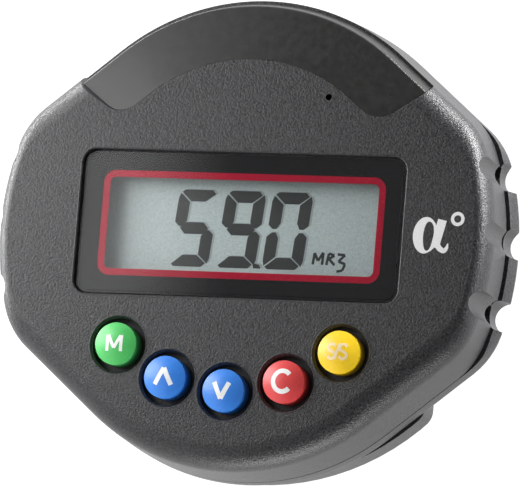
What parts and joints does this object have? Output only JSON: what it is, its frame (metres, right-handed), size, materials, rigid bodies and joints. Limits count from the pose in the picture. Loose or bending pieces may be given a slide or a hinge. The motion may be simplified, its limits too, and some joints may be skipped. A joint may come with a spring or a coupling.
{
  "type": "torque angle gauge",
  "caption": "Hand-sized digital angle gauge with a wide display, a bowed row of coloured keys, a smoked signal window along its round top and a magnetic foot for a wrench.",
  "frame": {"origin": "middle of the case's width and height, on the plane of the foot's back face", "axes": "+X to the right of the face, +Y to the top of the face, +Z out of the face"},
  "size_m": [0.0818, 0.0752, 0.0225],
  "materials": {
    "shell": "spark-eroded moulded grain",
    "rear_plastic": "spark-eroded moulded grain",
    "smoked_window": "polished",
    "led_epoxy": "clear epoxy",
    "lens": "polished acrylic",
    "black_print": "printed",
    "red_print": "printed",
    "foam": "foam",
    "lcd": "reflective display glass",
    "white_film": "diffuse film",
    "white_plastic": "moulded",
    "elastomer": "layered elastomer",
    "board": "solder mask",
    "chip": "moulded epoxy",
    "ceramic": "fired ceramic",
    "silicone": "moulded silicone",
    "gold": "plated",
    "steel": "zinc plated",
    "magnet": "nickel plated",
    "cell_steel": "nickel plated",
    "cap_plastic": "moulded grain",
    "spring_brass": "tinned spring bronze",
    "green_key": "satin",
    "blue_key": "satin",
    "red_key": "satin",
    "yellow_key": "satin"
  },
  "bodies": {
    "case": {"front_shell": "shell", "rear_shell": "rear_plastic", "signal_window": "smoked_window", "signal_leds": "led_epoxy", "display_lens": "lens", "lens_mask": "black_print", "coloured_line": "red_print", "display_gasket": "foam", "lcd_panel": "lcd", "lcd_reflector": "white_film", "lcd_holder": "white_plastic", "contact_strips": "elastomer", "main_board": "board", "microcontroller": "chip", "gyro_sensor": "chip", "sounder": "chip", "board_components": "ceramic", "keypad_mat": "silicone", "key_contacts": "gold", "board_screws": "steel", "case_screws": "steel", "magnets": "magnet", "coin_cell": "cell_steel", "positive_contact": "spring_brass", "negative_contact": "spring_brass"},
    "memory_key": {"memory_cap": "green_key", "memory_plunger": "silicone"},
    "up_key": {"up_cap": "blue_key", "up_plunger": "silicone"},
    "down_key": {"down_cap": "blue_key", "down_plunger": "silicone"},
    "clear_key": {"clear_cap": "red_key", "clear_plunger": "silicone"},
    "start_key": {"start_cap": "yellow_key", "start_plunger": "silicone"},
    "battery_door": {"battery_cap": "cap_plastic", "cap_seal": "silicone"}
  },
  "joints": [
    {"name": "memory_press", "type": "slide", "parent": "case", "child": "memory_key", "axis": [0, 0, -1], "range_m": [0, 0.0006], "stiffness_N_per_m": 600, "deforming": ["keypad_mat"]},
    {"name": "up_press", "type": "slide", "parent": "case", "child": "up_key", "axis": [0, 0, -1], "range_m": [0, 0.0006], "stiffness_N_per_m": 600, "deforming": ["keypad_mat"]},
    {"name": "down_press", "type": "slide", "parent": "case", "child": "down_key", "axis": [0, 0, -1], "range_m": [0, 0.0006], "stiffness_N_per_m": 600, "deforming": ["keypad_mat"]},
    {"name": "clear_press", "type": "slide", "parent": "case", "child": "clear_key", "axis": [0, 0, -1], "range_m": [0, 0.0006], "stiffness_N_per_m": 600, "deforming": ["keypad_mat"]},
    {"name": "start_press", "type": "slide", "parent": "case", "child": "start_key", "axis": [0, 0, -1], "range_m": [0, 0.0006], "stiffness_N_per_m": 600, "deforming": ["keypad_mat"]},
    {"name": "battery_cap_turn", "type": "hinge", "parent": "case", "child": "battery_door", "pos_m": [0, -0.006, 0], "axis": [0, 0, -1], "range_deg": [0, 45]}
  ]
}
